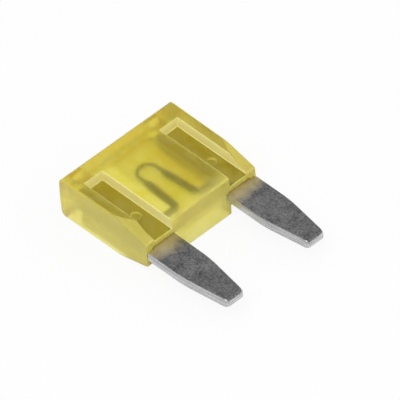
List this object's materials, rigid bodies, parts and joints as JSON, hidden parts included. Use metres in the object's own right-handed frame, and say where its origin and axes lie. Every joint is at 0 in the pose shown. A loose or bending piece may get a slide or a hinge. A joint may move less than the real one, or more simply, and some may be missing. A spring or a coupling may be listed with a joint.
{
  "type": "automotive blade fuse, mini size",
  "caption": "Flat plug-in vehicle fuse: clear yellow moulded housing with open channels front and back, staked on a one-piece stamped strip with two tapered blades and a hairpin link.",
  "frame": {"origin": "under the middle of the whole part, on the plane of the housing's broad back face", "axes": "+X across the two blades, +Y from the blade tips to the head, +Z from the back face to the front face; the fuse lies flat on its back"},
  "size_m": [0.0108, 0.0164, 0.0036],
  "materials": {
    "clear_plastic": "clear yellow injection-moulded polyamide, satin to gloss",
    "tinned_metal": "tinned zinc alloy, satin faces and bright sheared edges"
  },
  "bodies": {
    "root": {"housing": "clear_plastic", "fuse_element": "tinned_metal"}
  },
  "joints": []
}
